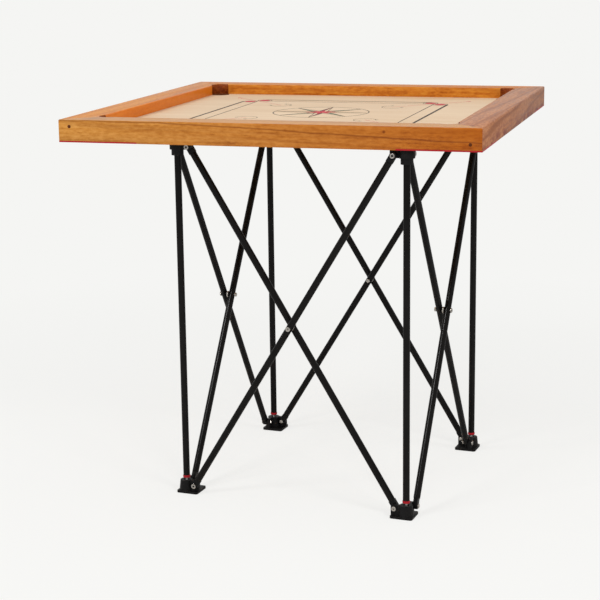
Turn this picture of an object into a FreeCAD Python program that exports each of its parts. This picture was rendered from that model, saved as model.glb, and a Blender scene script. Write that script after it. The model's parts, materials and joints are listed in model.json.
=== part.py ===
"""Carrom board on a folding stand.

A square wooden tray (four mitred rails around a playing sheet with corner pockets) lies on a
scissor stand: four upright tubes and, on each side, a crossed pair of longer tubes between a
moulded foot and a moulded top hub.  Millimetres, +Z up.  The origin is on the floor, below the
middle of the board; +X runs along the front rail and -Y faces the front.
"""
import FreeCAD, Part
import os
import Sketcher

CORNERS = ("fl", "fr", "br", "bl")
SIDES = ("front", "right", "back", "left")

# ---------------------------------------------------------------- driving dimensions
SIZES = {
    # board
    "playing_side": "740",
    "rail_width": "64",
    "rail_height": "46",
    "rail_chamfer": "1.5",
    "mitre_overcut": "5",
    "well_depth": "23.5",
    "sheet_thickness": "8",
    "sheet_tongue": "8",
    "pocket_radius": "22.25",
    "pocket_inset": "16",
    "batten_width": "80",
    "batten_offset": "97",
    "spine_width": "60",
    "plate_side": "168",
    "plate_thickness": "3",
    "plate_clip": "45",
    "dowel_radius": "3.5",
    "dowel_depth": "12",
    "dowel_inset": "23",
    "dowel_upper_drop": "14",
    "dowel_lower_drop": "32",
    # stand as a whole
    "stand_height": "750",
    "upright_spacing": "490",
    "stand_shift_x": "63",
    "stand_shift_y": "-145",
    "stand_turn": "-5.4",
    "board_gap": "0.2",
    # shared by the stand's pieces
    "tube_radius": "7",
    "tube_wall": "1.2",
    "pivot_inset": "24",
    "arm_offset": "3.5",
    "arm_thickness": "8",
    "arm_root_cover": "2",
    "hole_overrun": "1",
    "tongue_thickness": "9",
    "running_gap": "0.1",
    "fit_gap": "0.05",
    # top hub
    "hub_height": "29",
    "hub_flange_radius": "16",
    "hub_flange_height": "17",
    "hub_collar_radius": "12.5",
    "hub_roof": "7",
    "hub_pivot_drop": "11.5",
    "hub_arm_tip": "9",
    "hub_arm_round": "5",
    # foot
    "foot_outer": "17",
    "foot_inner": "31",
    "foot_plate_thickness": "5",
    "foot_corner_round": "5",
    "foot_boss_radius": "16.5",
    "foot_boss_taper": "3",
    "foot_boss_height": "26.5",
    "foot_pivot_height": "18.5",
    "foot_arm_tip": "7",
    "foot_arm_round": "6",
    "foot_socket_floor": "8",
    "foot_socket_mouth_radius": "5.8",
    "foot_socket_mouth_depth": "4",
    # upright and its end plug
    "plug_rise": "31.5",
    "plug_flange_height": "5",
    "plug_flange_radius": "7.8",
    "plug_shank_length": "20",
    "pin_radius": "2.5",
    "pin_clearance": "0.3",
    "pin_bottom": "12",
    "pin_grip": "15",
    # crossed bars
    "bar_end_length": "16",
    "bar_shank_length": "20",
    # bolts
    "bolt_radius": "2.5",
    "bolt_head_radius": "5",
    "bolt_head_height": "2.8",
    "nut_radius": "4.6",
    "nut_height": "4",
}

# ---------------------------------------------------------------- sizes worked out from them
DERIVED = {
    "board_side": "=playing_side + 2 * rail_width",
    "board_bottom": "=stand_height + board_gap",
    "surface_level": "=rail_height - well_depth",
    "sheet_underside": "=surface_level - sheet_thickness",
    "sheet_side": "=playing_side + 2 * sheet_tongue",
    "pocket_place": "=playing_side / 2 - pocket_inset",
    "corner_place": "=upright_spacing / 2",
    "pivot_place": "=corner_place - pivot_inset",
    "bore_radius": "=tube_radius - tube_wall",
    "bolt_hole_radius": "=bolt_radius + fit_gap",
    "arm_outer_face": "=arm_offset + arm_thickness / 2",
    "arm_inner_face": "=arm_offset - arm_thickness / 2",
    "bar_step": "=arm_thickness / 2 + running_gap + tongue_thickness / 2",
    "outer_bar_place": "=corner_place + arm_offset + bar_step",
    "inner_bar_place": "=corner_place + arm_offset - bar_step",
    "bolt_grip": "=arm_thickness + tongue_thickness + 2 * running_gap",
    "hub_pivot_height": "=stand_height - hub_pivot_drop",
    "bar_rise": "=hub_pivot_height - foot_pivot_height",
    "bar_run": "=upright_spacing - 2 * pivot_inset",
    "bar_length": "=sqrt(bar_rise * bar_rise + bar_run * bar_run)",
    "bar_tilt": "=atan(bar_run / bar_rise) / 1deg",
    "mid_bolt_grip": "=2 * bar_step + 2 * tube_radius + 2 * running_gap",
    "spacer_height": "=2 * bar_step - 2 * tube_radius - 2 * running_gap",
    "socket_radius": "=tube_radius + fit_gap",
    "shank_radius": "=bore_radius - fit_gap",
    "upright_top": "=stand_height - hub_roof",
    "upright_bottom": "=plug_rise + plug_flange_height",
    "arm_root": "=socket_radius + arm_root_cover",
    "through_cut": "=3 * rail_height",
}

document = FreeCAD.newDocument("CarromBoard")
sheet = document.addObject("Spreadsheet::Sheet", "Sizes")
for row, (alias, text) in enumerate(list(SIZES.items()) + list(DERIVED.items()), start=1):
    sheet.set(f"A{row}", alias)
    sheet.setAlias(f"B{row}", alias)
for row, text in enumerate(list(SIZES.values()) + list(DERIVED.values()), start=1):
    sheet.set(f"B{row}", text)
document.recompute()

nodes = []


# ---------------------------------------------------------------- small modelling vocabulary
def bind(item, **formulas):
    """Bind properties of an object to formulas over the sheet's aliases."""
    for name, formula in formulas.items():
        item.setExpression(name.replace("__", "."), named(formula))
    return item


def named(formula):
    """Put the sheet's name before each alias in a formula."""
    words = []
    word = ""
    for letter in formula + " ":
        if letter.isalnum() or letter == "_":
            word += letter
            continue
        words.append("Sizes." + word if word in SIZES or word in DERIVED else word)
        words.append(letter)
        word = ""
    return "".join(words).strip()


def place(x="0", y="0", z="0", axis="0;0;1", angle="0"):
    """Formula of a placement: a turn about an axis, then a shift."""
    return f"placement(vector({x};{y};{z});rotation(vector({axis});{angle}))"


STAND = place("stand_shift_x", "stand_shift_y", "0", angle="stand_turn")


def quarter(index):
    """The stand's frame, turned by quarter turns to one of its corners or sides."""
    return STAND + "*" + place(angle=str(90 * index))


def put(item, formula):
    item.setExpression("Placement", named(formula))
    return item


def cylinder(name, radius, height, where=None):
    item = document.addObject("Part::Cylinder", name)
    bind(item, Radius=radius, Height=height)
    return put(item, where) if where else item


def box(name, length, width, height, where=None):
    item = document.addObject("Part::Box", name)
    bind(item, Length=length, Width=width, Height=height)
    return put(item, where) if where else item


def fuse(name, parts):
    item = document.addObject("Part::MultiFuse", name)
    item.Shapes = parts
    item.Refine = True
    return item


def cut(name, base, tools):
    item = document.addObject("Part::Cut", name)
    item.Base = base
    item.Tool = tools[0] if len(tools) == 1 else fuse(name + "_tools", tools)
    return item


def group(name, parts):
    item = document.addObject("Part::Compound", name)
    item.Links = parts
    return item


def node(item, label, where=None):
    """Keep an object as a finished sub-part; its label names its file."""
    item.Label = label
    if where:
        put(item, where)
    nodes.append(item)
    return item


def outline(body, name, role, corners, offset="0"):
    """Closed sketch on one of the body's planes; each corner is a pair of formulas."""
    sketch = body.newObject("Sketcher::SketchObject", name)
    plane = next(item for item in body.Origin.OriginFeatures if item.Role == role)
    sketch.AttachmentSupport = [(plane, "")]
    sketch.MapMode = "FlatFace"
    sketch.setExpression("AttachmentOffset.Base.z", named(offset))
    points = [
        FreeCAD.Vector(float(sketch.evalExpression(named(x))), float(sketch.evalExpression(named(y))), 0)
        for x, y in corners
    ]
    count = len(points)
    for index in range(count):
        sketch.addGeometry(Part.LineSegment(points[index], points[(index + 1) % count]))
    for index in range(count):
        sketch.addConstraint(Sketcher.Constraint("Coincident", index, 2, (index + 1) % count, 1))
    for index, (x, y) in enumerate(corners):
        for kind, value, formula in (("DistanceX", points[index].x, x), ("DistanceY", points[index].y, y)):
            number = sketch.addConstraint(Sketcher.Constraint(kind, -1, 1, index, 1, value))
            sketch.renameConstraint(number, f"{kind}{index}")
            sketch.setExpression(f"Constraints.{kind}{index}", named(formula))
    return sketch


def ring(body, name, role, u, v, radius, offset="0"):
    """Sketch of one circle, its centre and radius given as formulas."""
    sketch = body.newObject("Sketcher::SketchObject", name)
    plane = next(item for item in body.Origin.OriginFeatures if item.Role == role)
    sketch.AttachmentSupport = [(plane, "")]
    sketch.MapMode = "FlatFace"
    sketch.setExpression("AttachmentOffset.Base.z", named(offset))
    centre = FreeCAD.Vector(float(sketch.evalExpression(named(u))), float(sketch.evalExpression(named(v))), 0)
    size = float(sketch.evalExpression(named(radius)))
    sketch.addGeometry(Part.Circle(centre, FreeCAD.Vector(0, 0, 1), size))
    for kind, details, formula in (
        ("DistanceX", (-1, 1, 0, 3, centre.x), u),
        ("DistanceY", (-1, 1, 0, 3, centre.y), v),
        ("Radius", (0, size), radius),
    ):
        number = sketch.addConstraint(Sketcher.Constraint(kind, *details))
        sketch.renameConstraint(number, kind)
        sketch.setExpression(f"Constraints.{kind}", named(formula))
    return sketch


def pad(body, sketch, length, midplane=False):
    item = body.newObject("PartDesign::Pad", sketch.Name + "_pad")
    item.Profile = sketch
    bind(item, Length=length)
    item.Midplane = midplane
    return item


def pocket(body, sketch, length, midplane=False):
    item = body.newObject("PartDesign::Pocket", sketch.Name + "_pocket")
    item.Profile = sketch
    bind(item, Length=length)
    item.Midplane = midplane
    return item


def revolve(body, sketch):
    item = body.newObject("PartDesign::Revolution", sketch.Name + "_turned")
    item.Profile = sketch
    item.ReferenceAxis = (sketch, ["V_Axis"])
    item.Angle = 360
    return item


def fillet(body, base, radius, wanted):
    """Round the edges of the last feature whose middle passes the test."""
    document.recompute()
    names = [
        f"Edge{number}"
        for number, edge in enumerate(base.Shape.Edges, start=1)
        if wanted(edge)
    ]
    item = body.newObject("PartDesign::Fillet", base.Name + "_rounded")
    item.Base = (base, names)
    bind(item, Radius=radius)
    return item


def size(alias):
    return float(sheet.get(alias))


def near(a, b):
    return abs(a - b) < 0.01


# ---------------------------------------------------------------- board
BOARD = place(z="board_bottom")


def board_quarter(index):
    return BOARD + "*" + place(angle=str(90 * index))


def rail(side, index):
    """Moulded rail: grooved for the sheet, mitred, scalloped at the pockets, let in for the plates."""
    body = document.addObject("PartDesign::Body", f"rail_{side}_moulding")
    inner = "-playing_side/2"
    profile = outline(body, f"rail_{side}_section", "YZ_Plane", [
        ("-board_side/2", "0"),
        (inner, "0"),
        (inner, "sheet_underside"),
        (inner + "-sheet_tongue", "sheet_underside"),
        (inner + "-sheet_tongue", "surface_level"),
        (inner, "surface_level"),
        (inner, "rail_height-rail_chamfer"),
        (inner + "-rail_chamfer", "rail_height"),
        ("-board_side/2+rail_chamfer", "rail_height"),
        ("-board_side/2", "rail_height-rail_chamfer"),
    ])
    pad(body, profile, "board_side", midplane=True)
    for end, sign in (("left", "-"), ("right", "")):
        mitre = outline(body, f"rail_{side}_mitre_{end}", "XY_Plane", [
            (f"{sign}board_side/2", "-board_side/2"),
            (f"{sign}(board_side/2-rail_width-mitre_overcut)", "-board_side/2+rail_width+mitre_overcut"),
            (f"{sign}(board_side/2+mitre_overcut)", "-board_side/2+rail_width+mitre_overcut"),
            (f"{sign}(board_side/2+mitre_overcut)", "-board_side/2"),
        ])
        pocket(body, mitre, "through_cut", midplane=True)
    tools = []
    for end, sign, low in (("left", "-", "-board_side/2"), ("right", "", "board_side/2-plate_side")):
        tools.append(cylinder(
            f"rail_{side}_scallop_{end}", "pocket_radius", "rail_height",
            place(f"{sign}pocket_place", "-pocket_place", "plate_thickness"),
        ))
        tools.append(box(
            f"rail_{side}_let_in_{end}", "plate_side", "rail_width", "plate_thickness",
            place(low, "-board_side/2", "0"),
        ))
    if side in ("front", "back"):
        tools += dowels(f"rail_{side}_dowel_hole", "dowel_radius")
    node(cut(f"rail_{side}_cut", body, tools), f"rail_{side}", board_quarter(index))


def dowels(name, radius):
    """Two short dowels across the mitres, driven in from the rail's outer face."""
    return [
        cylinder(f"{name}_{end}", radius, "dowel_depth", place(
            f"{sign}(board_side/2-dowel_inset)", "-board_side/2", f"rail_height-{drop}",
            axis="1;0;0", angle="-90",
        ))
        for end, sign, drop in (("left", "-", "dowel_upper_drop"), ("right", "", "dowel_lower_drop"))
    ]


def playing_sheet():
    """Square sheet with a round pocket hole at each corner."""
    body = document.addObject("PartDesign::Body", "playing_sheet_body")
    half = "sheet_side/2"
    pad(body, outline(body, "sheet_outline", "XY_Plane", [
        ("-" + half, "-" + half), (half, "-" + half), (half, half), ("-" + half, half),
    ], offset="sheet_underside"), "sheet_thickness")
    for corner, signs in zip(CORNERS, (("-", "-"), ("", "-"), ("", ""), ("-", ""))):
        hole = ring(
            body, f"pocket_{corner}", "XY_Plane", signs[0] + "pocket_place", signs[1] + "pocket_place",
            "pocket_radius",
        )
        pocket(body, hole, "through_cut", midplane=True)
    node(body, "playing_sheet", BOARD)


def battens():
    """Two cross battens and a spine in three lengths, flush with the rails' undersides."""
    parts = []
    for name, sign in (("front", "-"), ("back", "")):
        middle = f"{sign}batten_offset-batten_width/2"
        parts.append(box(
            f"batten_{name}", "playing_side", "batten_width", "sheet_underside",
            place("-playing_side/2", middle, "0"),
        ))
    reach = "batten_offset+batten_width/2"
    runs = (
        ("front", "-playing_side/2", f"playing_side/2-({reach})"),
        ("middle", "-batten_offset+batten_width/2", "2*batten_offset-batten_width"),
        ("back", reach, f"playing_side/2-({reach})"),
    )
    for name, start, length in runs:
        parts.append(box(
            f"spine_{name}", "spine_width", length, "sheet_underside", place("-spine_width/2", start, "0"),
        ))
    node(group("battens_group", parts), "battens", BOARD)


def corner_plates():
    """Square plates that close the pockets from below, the inner corner cut off."""
    plates = []
    for index, corner in enumerate(CORNERS):
        body = document.addObject("PartDesign::Body", f"plate_{corner}")
        pad(body, outline(body, f"plate_{corner}_outline", "XY_Plane", [
            ("0", "0"),
            ("plate_side", "0"),
            ("plate_side", "plate_side-plate_clip"),
            ("plate_side-plate_clip", "plate_side"),
            ("0", "plate_side"),
        ]), "plate_thickness")
        put(body, place(angle=str(90 * index)) + "*" + place("-board_side/2", "-board_side/2", "0"))
        plates.append(body)
    node(group("corner_plates_group", plates), "corner_plates", BOARD)


def corner_dowels():
    parts = []
    for index, side in ((0, "front"), (2, "back")):
        pair = group(f"dowels_{side}", dowels(f"dowel_{side}", "dowel_radius-fit_gap"))
        parts.append(put(pair, place(angle=str(90 * index))))
    node(group("corner_dowels_group", parts), "corner_dowels", BOARD)


for number, side_name in enumerate(SIDES):
    rail(side_name, number)
playing_sheet()
battens()
corner_plates()
corner_dowels()


# ---------------------------------------------------------------- fasteners of the stand
OUT_FRONT = "1;0;0", "90"
OUT_LEFT = "0;1;0", "-90"


def bolt(name, grip, where):
    """Pan-headed bolt, its nut run up flush with its end: the head sits at z = 0 and points to +z."""
    end = f"{grip}+nut_height"
    nut = document.addObject("Part::Prism", name + "_nut")
    nut.Polygon = 6
    bind(nut, Circumradius="nut_radius", Height="nut_height")
    put(nut, place(z=f"-({end})"))
    return put(fuse(name, [
        cylinder(name + "_head", "bolt_head_radius", "bolt_head_height"),
        cylinder(name + "_shank", "bolt_radius", end, place(z=f"-({end})")),
        nut,
    ]), where)


def corner_bolts(name, level, front_carries_outer):
    """The two pivot bolts of one hub or foot, their heads on the stand's outside."""
    seats = {True: "arm_outer_face+tongue_thickness+2*running_gap", False: "arm_outer_face"}
    front = place("pivot_inset", f"-({seats[front_carries_outer]})", level, *OUT_FRONT)
    left = place(f"-({seats[not front_carries_outer]})", "pivot_inset", level, *OUT_LEFT)
    return [bolt(name + "_front", "bolt_grip", front), bolt(name + "_left", "bolt_grip", left)]


# ---------------------------------------------------------------- hubs and feet
def arm(body, name, role, tip, low, high, root):
    """Flat arm beside one of the stand's sides, from inside the hub's wall past the pivot."""
    return pad(body, outline(body, name, role, [(root, low), (tip, low), (tip, high), (root, high)],
                             offset="arm_inner_face" if role == "XZ_Plane" else "-arm_outer_face"),
               "arm_thickness")


def pivot_hole(body, name, role, level):
    offset = "arm_inner_face-hole_overrun" if role == "XZ_Plane" else "-arm_outer_face-hole_overrun"
    hole = ring(body, name, role, "pivot_inset", level, "bolt_hole_radius", offset=offset)
    item = pocket(body, hole, "arm_thickness+2*hole_overrun")
    item.Reversed = True
    return item


def edge_at(edge, **wanted):
    """Whether the middle of an edge lies at the wanted coordinates."""
    middle = edge.valueAt((edge.FirstParameter + edge.LastParameter) / 2)
    return all(near(getattr(middle, axis), value) for axis, value in wanted.items())


def top_hub(corner):
    """Moulded hub: round flange and collar with a blind socket, and two arms at right angles."""
    body = document.addObject("PartDesign::Body", f"top_hub_{corner}_body")
    revolve(body, outline(body, f"top_hub_{corner}_profile", "XZ_Plane", [
        ("0", "0"),
        ("hub_flange_radius", "0"),
        ("hub_flange_radius", "-hub_flange_height"),
        ("hub_collar_radius", "-hub_flange_height"),
        ("hub_collar_radius", "-hub_height"),
        ("socket_radius", "-hub_height"),
        ("socket_radius", "-hub_roof"),
        ("0", "-hub_roof"),
    ]))
    tip = "pivot_inset+hub_arm_tip"
    low = "-hub_flange_height"
    for side, role in (("front", "XZ_Plane"), ("left", "YZ_Plane")):
        last = arm(body, f"top_hub_{corner}_{side}_arm", role, tip, low, "0", "arm_root")
        reach = size("pivot_inset") + size("hub_arm_tip")
        bottom = -size("hub_flange_height")
        along = "x" if side == "front" else "y"
        last = fillet(body, last, "hub_arm_round", lambda edge: edge_at(edge, **{along: reach, "z": bottom}))
        pivot_hole(body, f"top_hub_{corner}_{side}_hole", role, "-hub_pivot_drop")
    return body


def foot(corner):
    """Moulded foot: square plate, tapered boss with the pin's socket, and two pivot ears."""
    body = document.addObject("PartDesign::Body", f"foot_{corner}_body")
    base = pad(body, outline(body, f"foot_{corner}_plate", "XY_Plane", [
        ("-foot_outer", "-foot_outer"),
        ("foot_inner", "-foot_outer"),
        ("foot_inner", "foot_inner"),
        ("-foot_outer", "foot_inner"),
    ]), "foot_plate_thickness")
    fillet(body, base, "foot_corner_round", lambda edge: near(abs(edge.tangentAt(edge.FirstParameter).z), 1))
    revolve(body, outline(body, f"foot_{corner}_boss", "XZ_Plane", [
        ("0", "0"),
        ("foot_boss_radius", "0"),
        ("foot_boss_radius-foot_boss_taper", "foot_boss_height"),
        ("foot_socket_mouth_radius", "foot_boss_height"),
        ("foot_socket_mouth_radius", "foot_boss_height-foot_socket_mouth_depth"),
        ("pin_radius+pin_clearance", "foot_boss_height-foot_socket_mouth_depth"),
        ("pin_radius+pin_clearance", "foot_socket_floor"),
        ("0", "foot_socket_floor"),
    ]))
    tip = "pivot_inset+foot_arm_tip"
    for side, role in (("front", "XZ_Plane"), ("left", "YZ_Plane")):
        last = arm(body, f"foot_{corner}_{side}_ear", role, tip, "0", "foot_boss_height", "arm_root")
        reach = size("pivot_inset") + size("foot_arm_tip")
        crown = size("foot_boss_height")
        along = "x" if side == "front" else "y"
        fillet(body, last, "foot_arm_round", lambda edge: edge_at(edge, **{along: reach, "z": crown}))
        pivot_hole(body, f"foot_{corner}_{side}_hole", role, "foot_pivot_height")
    return body


# ---------------------------------------------------------------- tubes, plugs and bars
def tube(name, low, high, cross_hole=None):
    """Round tube along z between two levels, drilled across y where a bolt passes."""
    length = f"{high}-({low})"
    solid = cylinder(name + "_outside", "tube_radius", length, place(z=low))
    tools = [cylinder(name + "_bore", "bore_radius", length, place(z=low))]
    if cross_hole:
        tools.append(cylinder(name + "_cross_hole", "bolt_hole_radius", "4*tube_radius", place(
            "0", "2*tube_radius", cross_hole, "1;0;0", "90")))
    return cut(name + "_tube", solid, tools)


def upright(corner, where):
    """Upright tube, its red end plug and the steel pin that drops into the foot."""
    node(tube(f"upright_{corner}", "upright_bottom", "upright_top"), f"upright_{corner}", where)
    plug = fuse(f"end_plug_{corner}_solid", [
        cylinder(f"end_plug_{corner}_flange", "plug_flange_radius", "plug_flange_height", place(z="plug_rise")),
        cylinder(f"end_plug_{corner}_shank", "shank_radius", "plug_shank_length", place(z="upright_bottom")),
    ])
    bore = cylinder(f"end_plug_{corner}_bore", "pin_radius+fit_gap", "pin_grip", place(z="plug_rise"))
    node(cut(f"end_plug_{corner}_cut", plug, [bore]), f"end_plug_{corner}", where)
    pin = cylinder(f"lock_pin_{corner}_rod", "pin_radius", "plug_rise+pin_grip-pin_bottom", place(z="pin_bottom"))
    pin_group = group(f"lock_pin_{corner}_group", [pin])
    node(pin_group, f"lock_pin_{corner}", where)


def bar_end(name, where):
    """Plug in a bar's end: a flat tongue round the pivot at z = 0, and a shank that fills the tube."""
    half = "tongue_thickness/2"
    solid = fuse(name + "_solid", [
        cylinder(name + "_eye", "tube_radius", "tongue_thickness", place("0", half, "0", "1;0;0", "90")),
        box(name + "_tongue", "2*tube_radius", "tongue_thickness", "bar_end_length", place(
            "-tube_radius", "-" + half, "0")),
        cylinder(name + "_shank", "shank_radius", "bar_shank_length", place(z="bar_end_length")),
    ])
    hole = cylinder(name + "_hole", "bolt_hole_radius", "2*tongue_thickness", place(
        "0", "tongue_thickness", "0", "1;0;0", "90"))
    return put(cut(name, solid, [hole]), where)


def bar(side, layer, where):
    """One crossed bar along z from its lower pivot: the drilled tube and its two end plugs."""
    stem = f"{side}_{layer}_bar"
    whole = tube(stem, "bar_end_length", "bar_length-bar_end_length", cross_hole="bar_length/2")
    node(whole, f"{stem}_tube", where)
    ends = [
        bar_end(f"{stem}_low_end", place()),
        bar_end(f"{stem}_high_end", place(z="bar_length", axis="0;1;0", angle="180")),
    ]
    node(group(f"{stem}_ends_group", ends), f"{stem}_ends", where)


def mid_bolt(side, where):
    """Bolt, nut and spacer where the two bars of a side cross; z = 0 is the lower pivot."""
    head = place("0", "-(tube_radius+running_gap)", "bar_length/2", *OUT_FRONT)
    spacer = cylinder(f"{side}_spacer_solid", "tube_radius", "spacer_height")
    bore = cylinder(f"{side}_spacer_bore", "bolt_hole_radius", "spacer_height")
    ring_place = head + "*" + place(z="-(2*tube_radius+2*running_gap+spacer_height)")
    washer = put(cut(f"{side}_spacer", spacer, [bore]), ring_place)
    parts = [bolt(f"{side}_mid", "mid_bolt_grip", head), washer]
    node(group(f"{side}_mid_bolt_group", parts), f"{side}_mid_bolt", where)


for number, corner_name in enumerate(CORNERS):
    base_place = quarter(number) + "*" + place("-corner_place", "-corner_place", "0")
    top_place = quarter(number) + "*" + place("-corner_place", "-corner_place", "stand_height")
    node(foot(corner_name), f"foot_{corner_name}", base_place)
    node(group(f"foot_bolts_{corner_name}_group", corner_bolts(
        f"foot_bolt_{corner_name}", "foot_pivot_height", front_carries_outer=True,
    )), f"foot_bolts_{corner_name}", base_place)
    node(top_hub(corner_name), f"top_hub_{corner_name}", top_place)
    node(group(f"top_bolts_{corner_name}_group", corner_bolts(
        f"top_bolt_{corner_name}", "-hub_pivot_drop", front_carries_outer=False,
    )), f"top_bolts_{corner_name}", top_place)
    upright(corner_name, base_place)

for number, side_name in enumerate(SIDES):
    outer_place = quarter(number) + "*" + place(
        "-pivot_place", "-outer_bar_place", "foot_pivot_height", "0;1;0", "bar_tilt")
    inner_place = quarter(number) + "*" + place(
        "pivot_place", "-inner_bar_place", "foot_pivot_height", "0;1;0", "-bar_tilt")
    bar(side_name, "outer", outer_place)
    bar(side_name, "inner", inner_place)
    mid_bolt(side_name, outer_place)


# ---------------------------------------------------------------- checks and files
document.recompute()
for item in document.Objects:
    if "Invalid" in item.State or "Error" in item.State:
        raise RuntimeError(f"{item.Label} failed: {item.State}")
for item in nodes:
    if item.Shape.isNull() or not item.Shape.isValid():
        raise RuntimeError(f"{item.Label} has no valid shape")

os.makedirs("parts", exist_ok=True)
for item in nodes:
    item.Shape.exportStep(f"parts/{item.Label}.step")
    print(f"{item.Label:26s} solids {len(item.Shape.Solids):2d}  volume {item.Shape.Volume:12.1f}")
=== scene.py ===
"""Finish of a carrom board and its folding stand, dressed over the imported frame.

Metres, +Z up.  The rails are varnished hardwood, the playing sheet is pale lacquered ply with
printed lines, the stand is black coated tube in moulded nylon joints with nickel bolts.
"""
import json
import math

import bmesh
import bpy
from mathutils import Matrix, Vector

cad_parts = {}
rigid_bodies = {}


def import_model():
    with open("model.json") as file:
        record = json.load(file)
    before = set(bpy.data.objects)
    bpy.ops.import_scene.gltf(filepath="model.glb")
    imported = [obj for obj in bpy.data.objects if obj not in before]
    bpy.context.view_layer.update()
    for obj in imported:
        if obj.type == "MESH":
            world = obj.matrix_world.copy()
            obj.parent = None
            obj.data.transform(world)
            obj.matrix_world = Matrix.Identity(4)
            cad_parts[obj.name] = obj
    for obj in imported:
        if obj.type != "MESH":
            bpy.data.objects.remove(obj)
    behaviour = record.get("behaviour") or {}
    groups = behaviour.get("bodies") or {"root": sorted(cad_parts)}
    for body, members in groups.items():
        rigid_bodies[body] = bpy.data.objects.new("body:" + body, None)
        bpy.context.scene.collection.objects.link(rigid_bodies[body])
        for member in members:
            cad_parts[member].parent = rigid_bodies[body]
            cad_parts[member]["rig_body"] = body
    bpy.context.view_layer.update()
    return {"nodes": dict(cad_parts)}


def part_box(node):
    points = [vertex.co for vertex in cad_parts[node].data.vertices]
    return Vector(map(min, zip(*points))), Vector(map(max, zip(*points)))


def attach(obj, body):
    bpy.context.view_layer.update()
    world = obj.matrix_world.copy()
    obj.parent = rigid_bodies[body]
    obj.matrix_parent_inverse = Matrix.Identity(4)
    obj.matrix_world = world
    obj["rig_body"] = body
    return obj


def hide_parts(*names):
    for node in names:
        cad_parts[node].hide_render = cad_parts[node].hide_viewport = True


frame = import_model()
NODES = frame["nodes"]
CORNERS = ("fl", "fr", "br", "bl")
SIDES = ("front", "right", "back", "left")
QUARTER = math.pi / 2

# ---------------------------------------------------------------- sizes, from the frame
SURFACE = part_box("playing_sheet")[1].z
BOARD_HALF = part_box("rail_front")[1].x
RAIL_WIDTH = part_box("rail_front")[1].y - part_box("rail_front")[0].y
RAIL_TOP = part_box("rail_front")[1].z
RAIL_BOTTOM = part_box("rail_front")[0].z
WELL_HALF = BOARD_HALF - RAIL_WIDTH
POCKET_RADIUS = 0.02225
POCKET_PLACE = WELL_HALF - 0.016
POCKET_SLACK = 0.0006
HOLE_REACH = WELL_HALF + 0.012
BOLT_HEAD = 0.005

# rounding of the pieces' sharp edges
SHARP_ANGLE = math.radians(35)
RAIL_EDGE = 0.0006
HUB_EDGE = 0.0008
FOOT_EDGE = 0.0009
PLUG_EDGE = 0.0006
PIN_EDGE = 0.0004
EYE_EDGE = 0.0006
JOINT_BOLT_EDGE = 0.0007
MID_BOLT_EDGE = 0.0005

# printed lines of the playing sheet
PRINT_HEIGHT = 0.00012
BASE_LEVEL = 0.228
BASE_GAP = 0.033
BASE_REACH = 0.2
BASE_THICK = 0.0058
BASE_THIN = 0.0024
BASE_CIRCLE = 0.0165
BASE_SPOT = 0.0125
CIRCLE_STROKE = 0.002
RING_RADIUS = 0.106
RING_WIDTH = 0.0022
STAR_POINTS = 8
STAR_REACH = 0.103
STAR_WAIST = 0.024
STAR_STROKE = 0.0014
STAR_LINE_HEIGHT = PRINT_HEIGHT * 2
HEART_REACH = 0.036
HEART_WAIST = 0.012
HEART_HEIGHT = PRINT_HEIGHT * 3
ARROW_TAIL = 0.402
ARROW_END = 0.186
ARROW_STROKE = 0.0015
ARROW_BARB_BACK = -0.011
ARROW_BARB_SIDE = 0.0055
ARC_RADIUS = 0.024
ARC_OPENING = math.radians(48)
ARC_BARB = 0.007
ARC_BARB_ANGLE = math.radians(28)
ARC_BARB_STROKE = ARROW_STROKE * 0.8
ARC_STEP = 0.0035
ARC_FEWEST_STEPS = 12
SPOT_SEGMENTS = 40

# small hardware
CAP_FEWEST_CORNERS = 17
CAP_SLACK = 0.05
CAP_ROUNDNESS = 0.93
SOCKET_RADIUS = 0.0024
SOCKET_DEPTH = 0.0018
SCREW_RADIUS = 0.0042
SCREW_HEIGHT = 0.0016
SCREW_NEAR = 0.084
SCREW_FAR = 0.15
SCREW_SEGMENTS = 24
SCREW_DOME = ((0.94, 0.45), (0.82, 0.35), (0.66, 0.2))
SLOT_LENGTH = SCREW_RADIUS * 1.05
SLOT_WIDTH = SCREW_RADIUS * 0.2
SLOT_HEIGHT = SCREW_HEIGHT * 0.12

# marks in the wood of single rails, and the reach of the painted shade and painted bounce light on
# some faces
OUTER_SKIN = 0.004
CHAMFER_SKIN = 0.0015
INNER_BOUNCE_SHARE = 0.6
STAIN_START = RAIL_TOP - 0.017
STAIN_FULL = RAIL_BOTTOM + 0.006
STAIN_SHARE = 0.9
GROWTH_LEVEL = RAIL_TOP + 0.0024
GROWTH_FALL = 0.037
GROWTH_FALL_OFFSET = -0.0092
GROWTH_WANDER = 0.009
GROWTH_WIDTH = 0.0008
GROWTH_WIDTH_WANDER = 0.003
GROWTH_SHARE = 0.7
KNOT = (0.243, -BOARD_HALF, RAIL_TOP - 0.011)
KNOT_HEART = 0.0016
KNOT_EDGE = 0.0042
KNOT_SHARE = 0.8
MARK_COLOUR = (116, 58, 12)

# stretch of each grain pattern: along the rail, across it and down
GRAIN = {
    "streak": (9, 160, 160),
    "band": (1.6, 20, 20),
    "pore": (60, 800, 800),
    "mottle": (70, 190, 190),
    "ring": (0.05, 1, 1),
}
STREAK_SHARE = 0.34
BAND_SHARE = 0.28
MOTTLE_SHARE = 0.38

# floor, light and camera
BACKGROUND = (245, 245, 243)
FLOOR_SIZE = 60.0
FLOOR_CLEARANCE = 0.0003
GLOW_REACH = (0.5, 2.0)
GLOW_SHARE = (0.8, 1.0)
SKY_STRENGTH = 0.55
CAMERA_TARGET = Vector((-0.048, 0.0, 0.3523))
CAMERA_DISTANCE = 3.708
CAMERA_HEADING = math.radians(16.03)
CAMERA_DIP = math.radians(12.56)
CAMERA_ROLL = math.radians(0.69)
CAMERA_LENS = 97.87
CAMERA_SENSOR = 36
CAMERA_SHIFT = (-0.004, -0.0052)
CAMERA_FAR = 200


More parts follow.
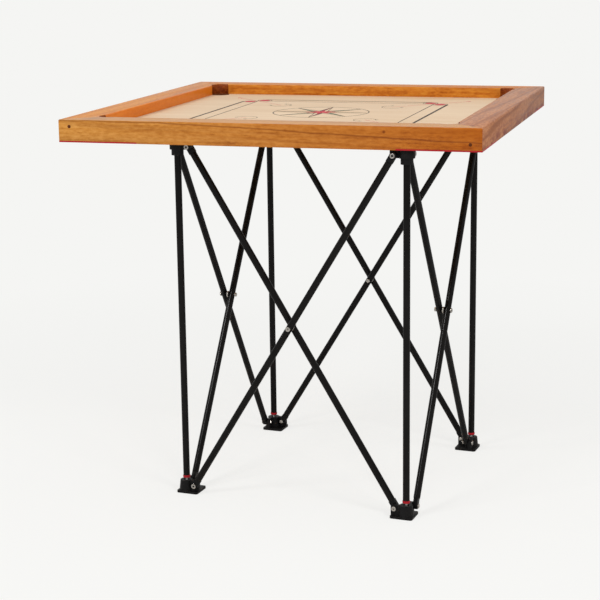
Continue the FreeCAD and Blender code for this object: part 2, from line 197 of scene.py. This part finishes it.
# ---------------------------------------------------------------- materials
def linear(colour):
    """8-bit display colour to linear light."""
    shares = (value / 255 for value in colour)
    return tuple(
        share / 12.92 if share <= 0.04 else ((share + 0.055) / 1.055) ** 2.4 for share in shares
    )


def opaque(colour):
    return (*linear(colour), 1)


class Nodes:
    """Short ways to add and join the nodes of one tree."""

    def __init__(self, tree):
        self.tree = tree

    def node(self, kind, inputs=None, **settings):
        item = self.tree.nodes.new("ShaderNode" + kind)
        for name, value in settings.items():
            setattr(item, name, value)
        for name, value in (inputs or {}).items():
            if hasattr(value, "links"):
                self.tree.links.new(value, item.inputs[name])
            else:
                item.inputs[name].default_value = value
        return item

    def math(self, operation, first, second=0.0, third=0.0):
        inputs = {0: first, 1: second, 2: third}
        return self.node("Math", inputs, operation=operation).outputs[0]

    def remap(self, value, before, after):
        """Carry a value from one range to another, held at both ends."""
        return self.node("MapRange", {
            "Value": value, 1: before[0], 2: before[1], 3: after[0], 4: after[1],
        }).outputs[0]

    def noise(self, where, scale=1.0, detail=4.0, roughness=0.55, distortion=0.0):
        return self.node("TexNoise", {
            "Vector": where, "Scale": scale, "Detail": detail, "Roughness": roughness,
            "Distortion": distortion,
        }).outputs["Fac"]

    def ramp(self, value, stops):
        item = self.node("ValToRGB", {"Fac": value})
        band = item.color_ramp
        while len(band.elements) < len(stops):
            band.elements.new(0.5)
        for element, (position, colour) in zip(band.elements, stops):
            element.position = position
            element.color = opaque(colour)
        return item.outputs["Color"]

    def mix(self, amount, first, second, blend="MIX"):
        first, second = (
            value if hasattr(value, "links") else opaque(value) for value in (first, second)
        )
        inputs = {0: amount, 6: first, 7: second}
        return self.node("Mix", inputs, data_type="RGBA", blend_type=blend).outputs[2]

    def place(self):
        """Object coordinates, which stay with the piece."""
        return self.node("TexCoord").outputs["Object"]

    def axes(self):
        return self.node("SeparateXYZ", {"Vector": self.place()}).outputs

    def mapped(self, where, scale=(1, 1, 1), shift=(0, 0, 0), turn=0.0):
        return self.node("Mapping", {
            "Vector": where, "Location": shift, "Rotation": (0, 0, turn), "Scale": scale,
        }).outputs["Vector"]


class Finish(Nodes):
    """The nodes of a material, with values set on its shader's own sockets."""

    def __init__(self, name, **sockets):
        self.material = bpy.data.materials.new(name)
        self.material.use_nodes = True
        super().__init__(self.material.node_tree)
        self.shader = self.tree.nodes["Principled BSDF"]
        for socket, value in sockets.items():
            self.shader.inputs[socket.replace("_", " ")].default_value = value

    def to(self, socket, output):
        self.tree.links.new(output, self.shader.inputs[socket])

    def bump(self, height, strength, distance):
        self.to("Normal", self.node("Bump", {
            "Height": height, "Strength": strength, "Distance": distance,
        }).outputs["Normal"])


def varnished_wood(
    name, turn, seed, dark, middle, light,
    figure=0.3, marks=None, shade=None, stain_and_bounce_light=None, gloss=0.12,
):
    """Straight-grained hardwood under clear varnish; the grain runs along the turned X axis."""
    made = Finish(
        name, Roughness=0.4, Coat_Weight=gloss / 2, Coat_Roughness=0.16, Specular_IOR_Level=gloss,
    )
    along = made.mapped(made.place(), shift=(seed * 1.7, seed * 0.31, seed * 0.23), turn=turn)
    stretched = {key: made.mapped(along, scale) for key, scale in GRAIN.items()}
    streak = made.noise(stretched["streak"], detail=5.0, roughness=0.6, distortion=0.2)
    bands = made.noise(stretched["band"], detail=3.0, roughness=0.5, distortion=0.8)
    pores = made.noise(stretched["pore"], detail=3.0, roughness=0.6)
    mottle = made.noise(stretched["mottle"], detail=4.0, roughness=0.6)
    tone = made.math("MULTIPLY_ADD", streak, STREAK_SHARE, made.math("MULTIPLY", bands, BAND_SHARE))
    tone = made.math("MULTIPLY_ADD", mottle, MOTTLE_SHARE, tone)
    colour = made.ramp(tone, ((0.38, dark), (0.5, middle), (0.62, light)))
    rings = made.node("TexWave", {
        "Vector": stretched["ring"], "Scale": 18.0, "Distortion": 5.0, "Detail": 2.0,
        "Detail Scale": 1.4, "Detail Roughness": 0.5, "Phase Offset": seed * 5,
    }, wave_type="BANDS", bands_direction="DIAGONAL").outputs["Fac"]
    colour = made.mix(made.remap(rings, (0.0, 0.22), (figure, 0.0)), colour, dark)
    colour = made.mix(made.remap(pores, (0.56, 0.72), (0.0, 0.5)), colour, dark)
    if marks:
        colour = made.mix(marks(made), colour, MARK_COLOUR)
    # The tint is multiplied over the faces its mask picks out: painted shade.
    if shade:
        where, tint = shade
        colour = made.mix(where(made), colour, tint, "MULTIPLY")
    # Mixed over the masked faces: stained patches on the right rail, painted bounce light on the
    # left rail's inner face.
    if stain_and_bounce_light:
        where, tint = stain_and_bounce_light
        colour = made.mix(where(made), colour, tint)
    made.to("Base Color", colour)
    made.to("Roughness", made.remap(streak, (0.3, 0.75), (0.34, 0.48)))
    made.bump(made.math("ADD", streak, pores), 0.2, 0.0003)
    return made.material


def painted_end_shade(made):
    """Painted shade on the front rail's outer face, more and more towards its right end."""
    axes = made.axes()
    run = made.remap(axes["X"], (-BOARD_HALF, BOARD_HALF), (0.0, 1.0))
    return made.math("MULTIPLY", run, made.math("LESS_THAN", axes["Y"], OUTER_SKIN - BOARD_HALF))


def right_outer_face(made):
    return made.math("GREATER_THAN", made.axes()["X"], BOARD_HALF - OUTER_SKIN)


# Painted bounce light: the left rail's inner face, facing the pale sheet, is lifted towards a
# stronger orange.
def painted_bounce_light(made):
    inside = made.math("GREATER_THAN", made.axes()["X"], -WELL_HALF - CHAMFER_SKIN)
    return made.math("MULTIPLY", inside, INNER_BOUNCE_SHARE)


def low_stain(made):
    """Uneven patches along the lower half of the right rail's outer face."""
    low = made.remap(made.axes()["Z"], (STAIN_START, STAIN_FULL), (0.0, STAIN_SHARE))
    cloud = made.noise(made.mapped(made.place(), (1, 1, 2)), 24.0, 4.0, 0.6)
    patch = made.remap(cloud, (0.42, 0.6), (0.0, 1.0))
    return made.math("MULTIPLY", made.math("MULTIPLY", low, patch), right_outer_face(made))


def growth_marks(made):
    """On the front rail, one long dark growth line that sinks to the right, and a small knot."""
    axes = made.axes()
    run = made.math("MULTIPLY_ADD", axes["X"], 0.5 / BOARD_HALF, 0.5)
    fall = made.math("MULTIPLY_ADD", run, GROWTH_FALL, GROWTH_FALL_OFFSET)
    fall = made.math("MAXIMUM", fall, 0.0)
    wobble = made.noise(made.mapped(made.place(), (9, 1, 1)))
    fall = made.math("MULTIPLY_ADD", wobble, GROWTH_WANDER, fall)
    level = made.math("SUBTRACT", GROWTH_LEVEL, fall)
    distance = made.math("ABSOLUTE", made.math("SUBTRACT", axes["Z"], level))
    width = made.math("MULTIPLY_ADD", wobble, GROWTH_WIDTH_WANDER, GROWTH_WIDTH)
    line = made.remap(distance, (0.0, width), (GROWTH_SHARE, 0.0))
    inputs = {0: made.place(), 1: KNOT}
    reach = made.node("VectorMath", inputs, operation="DISTANCE").outputs["Value"]
    knot = made.remap(reach, (KNOT_HEART, KNOT_EDGE), (KNOT_SHARE, 0.0))
    return made.math("MAXIMUM", line, knot)


def bare_wood(name, dark, light):
    made = Finish(name, Roughness=0.75, Specular_IOR_Level=0.15)
    along = made.mapped(made.place(), shift=(0.4, 0.2, 0.1))
    streak = made.noise(made.mapped(along, (3, 95, 95)), detail=6.0)
    made.to("Base Color", made.ramp(streak, ((0.3, dark), (0.7, light))))
    made.bump(streak, 0.4, 0.0005)
    return made.material


def lacquered_sheet(name, dark, middle, light):
    """Pale ply under hard lacquer: faint figure, almost no relief."""
    made = Finish(
        name, Roughness=0.5, Coat_Weight=0.03, Coat_Roughness=0.25, Specular_IOR_Level=0.08,
    )
    along = made.mapped(made.place(), shift=(0.3, 0.1, 0))
    figure = made.noise(made.mapped(along, (2.5, 34, 34)), detail=6.0)
    cloud = made.noise(along, 3.0, 3.0)
    tone = made.math("MULTIPLY_ADD", figure, 0.6, made.math("MULTIPLY", cloud, 0.4))
    made.to("Base Color", made.ramp(tone, ((0.32, dark), (0.5, middle), (0.68, light))))
    made.to("Roughness", made.remap(cloud, (0.3, 0.7), (0.45, 0.56)))
    made.bump(figure, 0.08, 0.0002)
    return made.material


def coated(name, colour, roughness, relief=None, coat=0.0, specular=0.15):
    """Paint, powder coat or moulded plastic with soft wear; relief is its grain and strength."""
    made = Finish(
        name, Roughness=roughness, Coat_Weight=coat, Coat_Roughness=0.2,
        Specular_IOR_Level=specular,
    )
    wear = made.noise(made.place(), 26.0)
    worn = tuple(min(255, value + 9) for value in colour)
    made.to("Base Color", made.ramp(wear, ((0.35, colour), (0.72, worn))))
    made.to("Roughness", made.remap(wear, (0.3, 0.7), (roughness - 0.06, roughness + 0.08)))
    if relief:
        grain, strength = relief
        made.bump(made.noise(made.place(), grain, 3.0), strength, 0.0003)
    return made.material


def metal(name, colour, roughness, metallic=1.0):
    made = Finish(name, Metallic=metallic, Roughness=roughness)
    scuffs = made.noise(made.place(), 420.0)
    darker = tuple(int(value * 0.8) for value in colour)
    made.to("Base Color", made.ramp(scuffs, ((0.3, darker), (0.65, colour))))
    made.to("Roughness", made.remap(scuffs, (0.3, 0.7), (roughness - 0.07, roughness + 0.1)))
    made.bump(scuffs, 0.1, 0.0001)
    return made.material


def ink(name, colour):
    """Printed colour, here and there thinned towards the pale sheet."""
    made = Finish(name, Roughness=0.55, Specular_IOR_Level=0.08)
    worn = made.noise(made.place(), 240.0)
    faded = tuple(int(value + (226 - value) * 0.22) for value in colour)
    made.to("Base Color", made.ramp(worn, ((0.45, colour), (0.8, faded))))
    return made.material


RAIL_FINISH = {
    "front": varnished_wood(
        "rail_front_varnish", 0, 0.13, (148, 86, 24), (185, 124, 52), (202, 144, 72),
        # The front face darkens towards its right end: painted shade.
        figure=0.22, marks=growth_marks, shade=(painted_end_shade, (218, 172, 100)),
    ),
    "back": varnished_wood(
        "rail_back_varnish", 0, 1.41, (156, 78, 14), (194, 116, 36), (208, 140, 50),
    ),
    "left": varnished_wood(
        "rail_left_varnish", QUARTER, 2.83, (162, 88, 22), (198, 122, 44), (210, 144, 62),
        # The inner face takes a stronger orange: painted bounce light from the pale sheet.
        stain_and_bounce_light=(painted_bounce_light, (226, 114, 0)),
    ),
    "right": varnished_wood(
        "rail_right_varnish", QUARTER, 4.37, (131, 77, 48), (173, 115, 78), (194, 138, 98),
        # The outer face is multiplied darker: painted shade. The patches low on it are stained
        # wood.
        figure=0.62, shade=(right_outer_face, (236, 228, 222)), stain_and_bounce_light=(low_stain, (114, 52, 40)),
        gloss=0.05,
    ),
}
# Pocket scallops: darker end grain, made darker still as painted shade in the recess.
END_GRAIN_AND_SHADE = varnished_wood(
    "rail_pocket_end_grain_and_shade", QUARTER, 6.11, (96, 36, 8), (134, 62, 20), (160, 84, 34),
)
SHEET_LACQUER = lacquered_sheet(
    "playing_sheet_lacquer", (207, 178, 143), (214, 187, 156), (221, 197, 167),
)
# Dark cut walls of the pocket holes: painted shade inside the holes.
SHEET_EDGE_SHADE = bare_wood("playing_sheet_cut_edge_shade", (84, 44, 22), (120, 72, 40))
SAWN_WOOD = bare_wood("batten_sawn_softwood", (170, 130, 84), (204, 170, 122))
DOWEL_STAIN = bare_wood("dowel_end_grain", (62, 27, 8), (92, 45, 17))
RED_PAINT = coated("plate_red_paint", (150, 20, 24), 0.4, (900.0, 0.15), coat=0.1)
RED_NYLON = coated("plug_red_nylon", (150, 14, 26), 0.42, (1500.0, 0.2))
BLACK_COAT = coated("tube_black_coat", (5, 3, 2), 0.4, coat=0.2, specular=0.02)
BLACK_NYLON = coated("joint_black_nylon", (9, 8, 8), 0.5, (2200.0, 0.3), specular=0.12)
# Dark inside of the bolt sockets and on the screw slots: painted shade in the recesses.
SOCKET_SHADE = coated("bolt_socket_painted_shade", (24, 22, 20), 0.6, (2200.0, 0.2))
NICKEL = metal("bolt_nickel", (176, 171, 164), 0.28)
ZINC = metal("screw_zinc", (180, 178, 172), 0.38)
PIN_STEEL = metal("pin_ground_steel", (226, 226, 222), 0.34, 0.5)
BLACK_INK = ink("printed_black", (48, 38, 28))
RED_INK = ink("printed_red", (188, 48, 62))
MAROON_INK = ink("printed_maroon", (96, 32, 34))
GREEN_INK = ink("printed_green", (52, 92, 66))


# ---------------------------------------------------------------- shape helpers
def keep(mesh, name, finish, body):
    """Turn a finished bmesh into a piece that rides on a body."""
    data = bpy.data.meshes.new(name)
    mesh.to_mesh(data)
    mesh.free()
    piece = bpy.data.objects.new(name, data)
    bpy.context.scene.collection.objects.link(piece)
    data.materials.append(finish)
    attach(piece, body)
    return piece


def softened(node, name, finish, width=0.0, segments=3, detail=None, second=None):
    """A copy of a node's solid with its sharp edges rounded; it stands for the node.

    The detail function may change the copy first, and puts faces on the second finish.
    """
    source = NODES[node]
    mesh = bmesh.new()
    mesh.from_mesh(source.data)
    bmesh.ops.remove_doubles(mesh, verts=mesh.verts, dist=1e-6)
    bmesh.ops.dissolve_limit(
        mesh, angle_limit=math.radians(1), verts=mesh.verts, edges=mesh.edges,
    )
    if detail:
        detail(mesh)
    if width:
        sharp = [
            edge for edge in mesh.edges
            if edge.is_manifold and edge.calc_face_angle(0) > SHARP_ANGLE
        ]
        bmesh.ops.bevel(
            mesh, geom=sharp, offset=width, offset_type="OFFSET", segments=segments, profile=0.5,
            affect="EDGES", clamp_overlap=True, material=-1,
        )
    for face in mesh.faces:
        face.smooth = True
    for edge in mesh.edges:
        edge.smooth = not edge.is_manifold or edge.calc_face_angle(0) < SHARP_ANGLE
    piece = keep(mesh, name, finish, source["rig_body"])
    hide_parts(node)
    if second:
        piece.data.materials.append(second)


def finish_node(node, finish):
    """Give a CAD node that already has the right shape its finish."""
    for place in NODES[node].material_slots:
        place.material = finish


def only(kind, items):
    """The vertices, edges or faces among the items that an operator hands back."""
    return [item for item in items if isinstance(item, kind)]


def edges_of(verts):
    """The edges that meet at any of the vertices, once each."""
    return list({edge for vert in verts for edge in vert.link_edges})


def faces_of(verts):
    """The faces that meet at any of the vertices, once each."""
    return list({face for vert in verts for face in vert.link_faces})


def is_wall(face):
    return abs(face.normal.z) < 0.5


def is_bolt_cap(face):
    """Whether a face is the flat round end of a bolt head."""
    middle = face.calc_center_median()
    reach = [(vert.co - middle).length for vert in face.verts]
    return (
        len(reach) >= CAP_FEWEST_CORNERS
        and abs(max(reach) - BOLT_HEAD) < BOLT_HEAD * CAP_SLACK
        and min(reach) > BOLT_HEAD * CAP_ROUNDNESS
    )


def hex_sockets(mesh):
    """Sink a hexagon socket into the outer face of each bolt head."""
    for face in [face for face in mesh.faces if is_bolt_cap(face)]:
        middle = face.calc_center_median()
        out = face.normal.copy()
        rim = list(face.edges)
        bmesh.ops.delete(mesh, geom=[face], context="FACES_ONLY")
        place = Matrix.Translation(middle) @ out.to_track_quat("Z", "Y").to_matrix().to_4x4()
        corners = bmesh.ops.create_circle(
            mesh, segments=6, radius=SOCKET_RADIUS, matrix=place,
        )["verts"]
        mouth = edges_of(corners)
        bmesh.ops.bridge_loops(mesh, edges=rim + mouth)
        sunk = bmesh.ops.extrude_edge_only(mesh, edges=mouth)["geom"]
        bmesh.ops.translate(mesh, vec=-out * SOCKET_DEPTH, verts=only(bmesh.types.BMVert, sunk))
        floor = bmesh.ops.contextual_create(mesh, geom=only(bmesh.types.BMEdge, sunk))["faces"]
        # The socket's walls and floor take the dark finish: painted shade.
        for wall in floor + only(bmesh.types.BMFace, sunk):
            wall.material_index = 1


# ---------------------------------------------------------------- printed lines
def turned(x, y, angle):
    return Matrix.Rotation(angle, 3, "Z") @ Vector((x, y, 0))


def bar_print(mesh, start, end, width, height=PRINT_HEIGHT):
    """A printed straight stroke: a low flat bar from start to end on the sheet."""
    run = end - start
    middle = (start + end) / 2
    made = bmesh.ops.create_cube(mesh, size=1.0)["verts"]
    place = Matrix.Translation((middle.x, middle.y, SURFACE + height / 2))
    turn = Matrix.Rotation(math.atan2(run.y, run.x), 4, "Z")
    size = Matrix.Diagonal((run.length, width, height, 1))
    bmesh.ops.transform(mesh, matrix=place @ turn @ size, verts=made)


def arc_print(mesh, centre, radius, width, start=0.0, turn=math.tau):
    """A printed ring or arc: the stroke's small section spun about its centre."""
    middle = Vector((centre[0], centre[1], SURFACE + PRINT_HEIGHT / 2))
    made = bmesh.ops.create_grid(mesh, x_segments=1, y_segments=1, size=0.5)["verts"]
    place = Matrix.Translation(middle) @ Matrix.Rotation(start, 4, "Z")
    section = Matrix.Rotation(QUARTER, 4, "X") @ Matrix.Diagonal((width, PRINT_HEIGHT, 1, 1))
    reach = Matrix.Translation((radius, 0, 0))
    bmesh.ops.transform(mesh, matrix=place @ reach @ section, verts=made)
    faces = faces_of(made)
    full = abs(turn - math.tau) < 1e-6
    bmesh.ops.spin(
        mesh, geom=faces + edges_of(made) + made, cent=middle, axis=(0, 0, 1), angle=turn,
        steps=max(ARC_FEWEST_STEPS, int(abs(turn) * radius / ARC_STEP)), use_merge=full,
    )
    if full:
        bmesh.ops.delete(mesh, geom=[face for face in faces if face.is_valid], context="FACES_ONLY")


def spot_print(mesh, centre, radius):
    bmesh.ops.create_cone(
        mesh, cap_ends=True, segments=SPOT_SEGMENTS, radius1=radius, radius2=radius,
        depth=PRINT_HEIGHT,
        matrix=Matrix.Translation((centre[0], centre[1], SURFACE + PRINT_HEIGHT / 2)),
    )


def star_shoulder(waist, sign, angle):
    """The inner corner between one star point and its neighbour."""
    half = math.pi / STAR_POINTS
    return turned(waist * math.cos(half), sign * waist * math.sin(half), angle)


def kite_half(mesh, reach, waist, angle, sign, height=PRINT_HEIGHT):
    """One filled half of a star point: centre, shoulder and tip, raised by the print's height."""
    lift = Vector((0, 0, SURFACE))
    outline = (Vector(), star_shoulder(waist, sign, angle), turned(reach, 0, angle))
    corners = [mesh.verts.new(corner + lift) for corner in outline]
    raised = bmesh.ops.extrude_face_region(mesh, geom=[mesh.faces.new(corners)])["geom"]
    bmesh.ops.translate(mesh, vec=(0, 0, height), verts=only(bmesh.types.BMVert, raised))


def centre_star(black, red, maroon, green):
    """Eight-pointed star: pale side points, maroon front and back ones, half-green diagonals."""
    for index in range(STAR_POINTS):
        angle = index * math.tau / STAR_POINTS
        tip = turned(STAR_REACH, 0, angle)
        for sign in (-1, 1):
            shoulder = star_shoulder(STAR_WAIST, sign, angle)
            bar_print(black, shoulder, tip, STAR_STROKE, STAR_LINE_HEIGHT)
        if index % 2:
            kite_half(green, STAR_REACH, STAR_WAIST, angle, 1)
        elif index % 4:
            kite_half(maroon, STAR_REACH, STAR_WAIST, angle, 1)
        for sign in (-1, 1):
            kite_half(red, HEART_REACH, HEART_WAIST, angle, sign, HEART_HEIGHT)


def base_marks(black, red, angle):
    """The thick and the thin base line of one side and the two spots at their ends."""
    for level, width in (
        (BASE_LEVEL + BASE_GAP / 2, BASE_THICK),
        (BASE_LEVEL - BASE_GAP / 2, BASE_THIN),
    ):
        start, end = (turned(sign * BASE_REACH, -level, angle) for sign in (-1, 1))
        bar_print(black, start, end, width)
    for sign in (-1, 1):
        centre = turned(sign * BASE_REACH, -BASE_LEVEL, angle)
        arc_print(black, centre, BASE_CIRCLE, CIRCLE_STROKE)
        spot_print(red, centre, BASE_SPOT)


def corner_arrow(black, red, angle):
    """Diagonal stroke towards a pocket, with a barbed open arc at its inner end."""
    out = turned(1, 0, angle)
    centre = out * ARROW_END
    head = out * ARROW_TAIL
    bar_print(red, centre, head, ARROW_STROKE)
    for sign in (-1, 1):
        barb = turned(ARROW_BARB_BACK, sign * ARROW_BARB_SIDE, angle)
        bar_print(red, head, head + barb, ARROW_STROKE)
    arc_print(
        black, centre, ARC_RADIUS, ARROW_STROKE,
        start=angle + ARC_OPENING, turn=math.tau - 2 * ARC_OPENING,
    )
    for sign in (-1, 1):
        direction = angle + sign * ARC_OPENING
        tip = centre + turned(ARC_RADIUS, 0, direction)
        for barb in (-1, 1):
            away = direction + sign * QUARTER + barb * ARC_BARB_ANGLE
            bar_print(black, tip, tip + turned(ARC_BARB, 0, away), ARC_BARB_STROKE)


def print_lines():
    """Base lines, base circles, corner arrows, centre ring and star of the playing sheet."""
    black, red, maroon, green = (bmesh.new() for _ in range(4))
    for index in range(4):
        base_marks(black, red, index * QUARTER)
        corner_arrow(black, red, (index + 0.5) * QUARTER)
    centre_star(black, red, maroon, green)
    arc_print(black, (0, 0), RING_RADIUS, RING_WIDTH)
    for mesh, name, finish in (
        (black, "printed_lines", BLACK_INK),
        (red, "printed_red_marks", RED_INK),
        (maroon, "printed_maroon_marks", MAROON_INK),
        (green, "printed_green_marks", GREEN_INK),
    ):
        bmesh.ops.recalc_face_normals(mesh, faces=mesh.faces)
        keep(mesh, name, finish, "board")


# ---------------------------------------------------------------- dressing the pieces
def pocket_grain_and_shade(mesh):
    """The scallops over the pockets show darker end grain, made darker still as painted shade in
    the recess.
    """
    for face in mesh.faces:
        middle = face.calc_center_median()
        away = Vector((abs(middle.x) - POCKET_PLACE, abs(middle.y) - POCKET_PLACE))
        if abs(away.length - POCKET_RADIUS) < POCKET_SLACK and is_wall(face):
            face.material_index = 1


def hole_walls(mesh):
    """The cut walls of the pocket holes in the sheet are dark: painted shade inside the holes."""
    for face in mesh.faces:
        middle = face.calc_center_median()
        if is_wall(face) and max(abs(middle.x), abs(middle.y)) < HOLE_REACH:
            face.material_index = 1


def screw_head(mesh, place):
    """Domed head on the plane z = 0 with a cross slot laid over it."""
    loop = bmesh.ops.create_circle(mesh, segments=SCREW_SEGMENTS, radius=SCREW_RADIUS)["verts"]
    whole = list(loop)
    edges = edges_of(loop)
    for shrink, rise in SCREW_DOME:
        grown = bmesh.ops.extrude_edge_only(mesh, edges=edges)["geom"]
        ring = only(bmesh.types.BMVert, grown)
        edges = only(bmesh.types.BMEdge, grown)
        bmesh.ops.scale(mesh, vec=(shrink, shrink, 1), verts=ring)
        bmesh.ops.translate(mesh, vec=(0, 0, rise * SCREW_HEIGHT), verts=ring)
        whole += ring
    bmesh.ops.contextual_create(mesh, geom=edges)
    level = Matrix.Translation((0, 0, SCREW_HEIGHT))
    size = Matrix.Diagonal((SLOT_LENGTH, SLOT_WIDTH, SLOT_HEIGHT, 1))
    for turn in (0, QUARTER):
        slot = bmesh.ops.create_cube(mesh, size=1.0)["verts"]
        bmesh.ops.transform(mesh, matrix=level @ Matrix.Rotation(turn, 4, "Z") @ size, verts=slot)
        # The slot is dark: painted shade standing in for a sunk slot.
        for face in faces_of(slot):
            face.material_index = 1
        whole += slot
    bmesh.ops.recalc_face_normals(mesh, faces=faces_of(whole))
    bmesh.ops.transform(mesh, matrix=place, verts=whole)


def plate_screws():
    """Cross-headed screws, four to each corner plate, seen from below."""
    mesh = bmesh.new()
    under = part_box("corner_plates")[0].z
    across = -BOARD_HALF + RAIL_WIDTH / 2
    for corner in range(4):
        for along in (-BOARD_HALF + SCREW_NEAR, -BOARD_HALF + SCREW_FAR):
            for spot in ((along, across), (across, along)):
                x, y, _ = turned(*spot, corner * QUARTER)
                face_down = Matrix.Rotation(math.pi, 4, "X")
                screw_head(mesh, Matrix.Translation((x, y, under)) @ face_down)
    for face in mesh.faces:
        face.smooth = True
    piece = keep(mesh, "plate_screw_heads", ZINC, "board")
    piece.data.materials.append(SOCKET_SHADE)


def dress_board():
    for side in SIDES:
        softened(
            f"rail_{side}", f"rail_{side}_wood", RAIL_FINISH[side], RAIL_EDGE, 2,
            detail=pocket_grain_and_shade, second=END_GRAIN_AND_SHADE,
        )
    softened(
        "playing_sheet", "playing_sheet_ply", SHEET_LACQUER, detail=hole_walls, second=SHEET_EDGE_SHADE,
    )
    finish_node("battens", SAWN_WOOD)
    finish_node("corner_plates", RED_PAINT)
    softened("corner_dowels", "corner_dowel_ends", DOWEL_STAIN)
    plate_screws()
    print_lines()


def dress_stand():
    for corner in CORNERS:
        softened(f"top_hub_{corner}", f"top_hub_{corner}_moulding", BLACK_NYLON, HUB_EDGE)
        softened(f"foot_{corner}", f"foot_{corner}_moulding", BLACK_NYLON, FOOT_EDGE)
        softened(f"end_plug_{corner}", f"end_plug_{corner}_moulding", RED_NYLON, PLUG_EDGE)
        softened(f"upright_{corner}", f"upright_{corner}_tube", BLACK_COAT)
        softened(f"lock_pin_{corner}", f"lock_pin_{corner}_rod", PIN_STEEL, PIN_EDGE)
        for level in ("top", "foot"):
            bolts = f"{level}_bolts_{corner}"
            softened(
                bolts, f"{bolts}_heads", NICKEL, JOINT_BOLT_EDGE,
                detail=hex_sockets, second=SOCKET_SHADE,
            )
    for side in SIDES:
        for layer in ("outer", "inner"):
            bar = f"{side}_{layer}_bar"
            softened(f"{bar}_tube", f"{bar}_coated", BLACK_COAT)
            softened(f"{bar}_ends", f"{bar}_eyes", BLACK_NYLON, EYE_EDGE)
        softened(
            f"{side}_mid_bolt", f"{side}_mid_bolt_head", NICKEL, MID_BOLT_EDGE,
            detail=hex_sockets, second=SOCKET_SHADE,
        )


# ---------------------------------------------------------------- floor, light and camera
def floor_paper():
    """White paper: seen directly it is mostly its own colour, and it still takes the shadows."""
    made = Finish(
        "floor_paper", Base_Color=opaque(BACKGROUND), Roughness=0.95, Specular_IOR_Level=0.0,
    )
    glow = made.node("Emission", {"Color": opaque(BACKGROUND)})
    reach = made.node("VectorMath", {0: made.place()}, operation="LENGTH").outputs["Value"]
    share = made.remap(reach, GLOW_REACH, GLOW_SHARE)
    seen = made.math("MULTIPLY", made.node("LightPath").outputs["Is Camera Ray"], share)
    mix = made.node("MixShader", {0: seen, 1: made.shader.outputs[0], 2: glow.outputs[0]})
    surface = made.tree.nodes["Material Output"].inputs["Surface"]
    made.tree.links.new(mix.outputs[0], surface)
    return made.material


def pale_floor():
    mesh = bmesh.new()
    bmesh.ops.create_grid(mesh, x_segments=1, y_segments=1, size=FLOOR_SIZE / 2)
    data = bpy.data.meshes.new("pale_floor")
    mesh.to_mesh(data)
    mesh.free()
    data.transform(Matrix.Translation((0, 0, -FLOOR_CLEARANCE)))
    floor = bpy.data.objects.new("pale_floor", data)
    bpy.context.scene.collection.objects.link(floor)
    data.materials.append(floor_paper())


def sky():
    """Even white light; seen directly, mirrored or through glass it is the background colour."""
    world = bpy.data.worlds.new("studio")
    bpy.context.scene.world = world
    world.use_nodes = True
    world.node_tree.nodes.clear()
    made = Nodes(world.node_tree)
    rays = made.node("LightPath").outputs
    direct = made.math("MAXIMUM", rays["Is Camera Ray"], rays["Is Glossy Ray"])
    direct = made.math("MAXIMUM", direct, rays["Is Transmission Ray"])
    fill = made.node("Background", {"Color": (1, 1, 1, 1), "Strength": SKY_STRENGTH})
    seen = made.node("Background", {"Color": opaque(BACKGROUND)})
    mix = made.node("MixShader", {0: direct, 1: fill.outputs[0], 2: seen.outputs[0]})
    made.node("OutputWorld", {"Surface": mix.outputs[0]})


def lamp(name, place, target, width, power, mirrored=True):
    data = bpy.data.lights.new(name, "AREA")
    data.shape = "SQUARE"
    data.size = width
    data.energy = power
    item = bpy.data.objects.new(name, data)
    item.location = place
    item.visible_glossy = mirrored
    aim = Vector(target) - Vector(place)
    item.rotation_euler = aim.to_track_quat("-Z", "Y").to_euler()
    bpy.context.scene.collection.objects.link(item)


def lamps():
    """A broad key from the front left, a fill kept out of mirrors, and a soft one from above."""
    lamp("key_lamp", (-1.9, -2.9, 3.5), (0, 0, 0.6), 0.9, 80)
    lamp("fill_lamp", (2.5, -2.2, 2.9), (0, 0, 0.6), 0.9, 64, mirrored=False)
    lamp("top_lamp", (0.0, 0.6, 4.4), (0, 0, 0.7), 2.6, 16)


def camera():
    forward = Vector((
        -math.sin(CAMERA_HEADING) * math.cos(CAMERA_DIP),
        math.cos(CAMERA_HEADING) * math.cos(CAMERA_DIP),
        -math.sin(CAMERA_DIP),
    ))
    data = bpy.data.cameras.new("camera")
    data.sensor_width = CAMERA_SENSOR
    data.lens = CAMERA_LENS
    data.shift_x, data.shift_y = CAMERA_SHIFT
    data.clip_end = CAMERA_FAR
    item = bpy.data.objects.new("camera", data)
    turn = forward.to_track_quat("-Z", "Y").to_matrix() @ Matrix.Rotation(-CAMERA_ROLL, 3, "Z")
    place = Matrix.Translation(CAMERA_TARGET - forward * CAMERA_DISTANCE)
    item.matrix_world = place @ turn.to_4x4()
    bpy.context.scene.collection.objects.link(item)
    bpy.context.scene.camera = item


dress_board()
dress_stand()
pale_floor()
sky()
lamps()
camera()
bpy.context.scene.view_settings.view_transform = "Standard"
